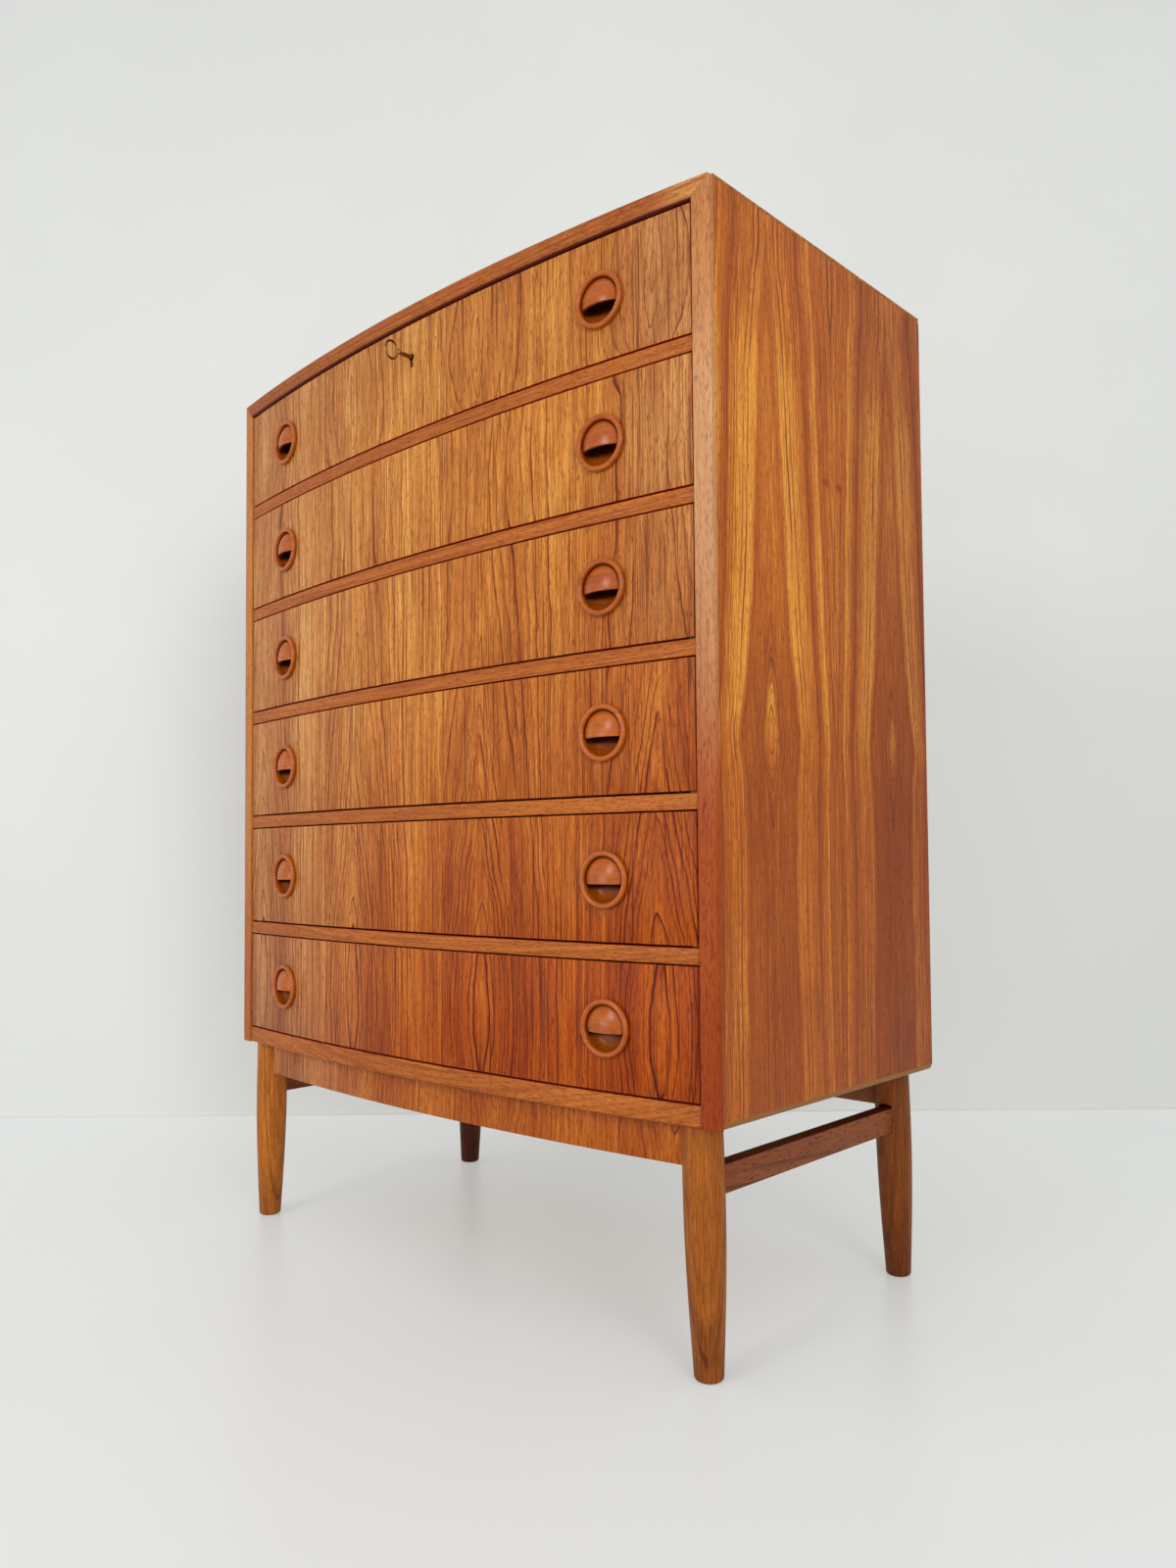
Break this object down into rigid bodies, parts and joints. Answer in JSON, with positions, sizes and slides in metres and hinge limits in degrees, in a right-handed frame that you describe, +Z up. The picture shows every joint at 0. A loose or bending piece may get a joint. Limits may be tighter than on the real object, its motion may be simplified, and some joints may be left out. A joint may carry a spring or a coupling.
{
  "type": "bow front chest of drawers",
  "caption": "Tall chest with bowed drawers in a veneered carcass, turned eyelid pulls, a lock with a key in the top drawer, and round tapered legs joined by stretchers.",
  "frame": {"origin": "centre of the bounding box's bottom, on the floor midway between the key's tip and the back panel", "axes": "+Z up, the bowed drawer front faces -Y, +X to the right of someone facing the drawers"},
  "size_m": [0.8, 0.4704, 1.102],
  "materials": {
    "drawer_veneer": "satin oiled teak veneer, vertical grain",
    "side_veneer": "satin oiled teak veneer, book-matched, vertical grain",
    "panel_veneer": "satin oiled teak veneer",
    "solid_teak": "satin oiled solid teak",
    "apron_veneer": "satin oiled teak veneer, vertical grain",
    "leg_wood": "satin stained oak",
    "stretcher_wood": "satin stained oak",
    "pull_wood": "polished turned teak",
    "drawer_wood": "plain planed beech",
    "runner_wood": "plain planed beech",
    "back_plywood": "plain sanded plywood",
    "brass": "worn brass",
    "lock_steel": "dull steel"
  },
  "bodies": {
    "carcass": {"left_side_panel": "side_veneer", "right_side_panel": "side_veneer", "top_panel": "panel_veneer", "bottom_panel": "panel_veneer", "back_panel": "back_plywood", "top_lipping": "solid_teak", "bottom_lipping": "solid_teak", "left_lipping": "solid_teak", "right_lipping": "solid_teak", "strike_plate": "brass", "rail_1": "solid_teak", "rail_2": "solid_teak", "rail_3": "solid_teak", "rail_4": "solid_teak", "rail_5": "solid_teak", "runner_1_left": "runner_wood", "runner_1_right": "runner_wood", "runner_2_left": "runner_wood", "runner_2_right": "runner_wood", "runner_3_left": "runner_wood", "runner_3_right": "runner_wood", "runner_4_left": "runner_wood", "runner_4_right": "runner_wood", "runner_5_left": "runner_wood", "runner_5_right": "runner_wood", "leg_front_left": "leg_wood", "leg_front_right": "leg_wood", "leg_rear_left": "leg_wood", "leg_rear_right": "leg_wood", "front_apron": "apron_veneer", "rear_rail": "stretcher_wood", "stretcher_left": "stretcher_wood", "stretcher_right": "stretcher_wood"},
    "drawer_1": {"drawer_1_front": "drawer_veneer", "drawer_1_box": "drawer_wood", "drawer_1_pull_left": "pull_wood", "drawer_1_pull_right": "pull_wood", "lock_case": "lock_steel"},
    "drawer_2": {"drawer_2_front": "drawer_veneer", "drawer_2_box": "drawer_wood", "drawer_2_pull_left": "pull_wood", "drawer_2_pull_right": "pull_wood"},
    "drawer_3": {"drawer_3_front": "drawer_veneer", "drawer_3_box": "drawer_wood", "drawer_3_pull_left": "pull_wood", "drawer_3_pull_right": "pull_wood"},
    "drawer_4": {"drawer_4_front": "drawer_veneer", "drawer_4_box": "drawer_wood", "drawer_4_pull_left": "pull_wood", "drawer_4_pull_right": "pull_wood"},
    "drawer_5": {"drawer_5_front": "drawer_veneer", "drawer_5_box": "drawer_wood", "drawer_5_pull_left": "pull_wood", "drawer_5_pull_right": "pull_wood"},
    "drawer_6": {"drawer_6_front": "drawer_veneer", "drawer_6_box": "drawer_wood", "drawer_6_pull_left": "pull_wood", "drawer_6_pull_right": "pull_wood"},
    "lock_key": {"key": "brass"},
    "bolt": {"lock_bolt": "brass"}
  },
  "joints": [
    {"name": "drawer_1_slide", "type": "slide", "parent": "carcass", "child": "drawer_1", "axis": [0, -1, 0], "range_m": [0, 0.28]},
    {"name": "drawer_2_slide", "type": "slide", "parent": "carcass", "child": "drawer_2", "axis": [0, -1, 0], "range_m": [0, 0.28]},
    {"name": "drawer_3_slide", "type": "slide", "parent": "carcass", "child": "drawer_3", "axis": [0, -1, 0], "range_m": [0, 0.28]},
    {"name": "drawer_4_slide", "type": "slide", "parent": "carcass", "child": "drawer_4", "axis": [0, -1, 0], "range_m": [0, 0.28]},
    {"name": "drawer_5_slide", "type": "slide", "parent": "carcass", "child": "drawer_5", "axis": [0, -1, 0], "range_m": [0, 0.28]},
    {"name": "drawer_6_slide", "type": "slide", "parent": "carcass", "child": "drawer_6", "axis": [0, -1, 0], "range_m": [0, 0.28]},
    {"name": "bolt_lift", "type": "slide", "parent": "drawer_1", "child": "bolt", "axis": [0, 0, 1], "range_m": [0, 0.008]},
    {"name": "key_turn", "type": "hinge", "parent": "drawer_1", "child": "lock_key", "pos_m": [0, -0.2, 1.042], "axis": [0, 1, 0], "range_deg": [0, 180]}
  ],
  "couplings": [
    {"joint": "key_turn", "follows": "bolt_lift", "rad_per_m": 392.69}
  ]
}
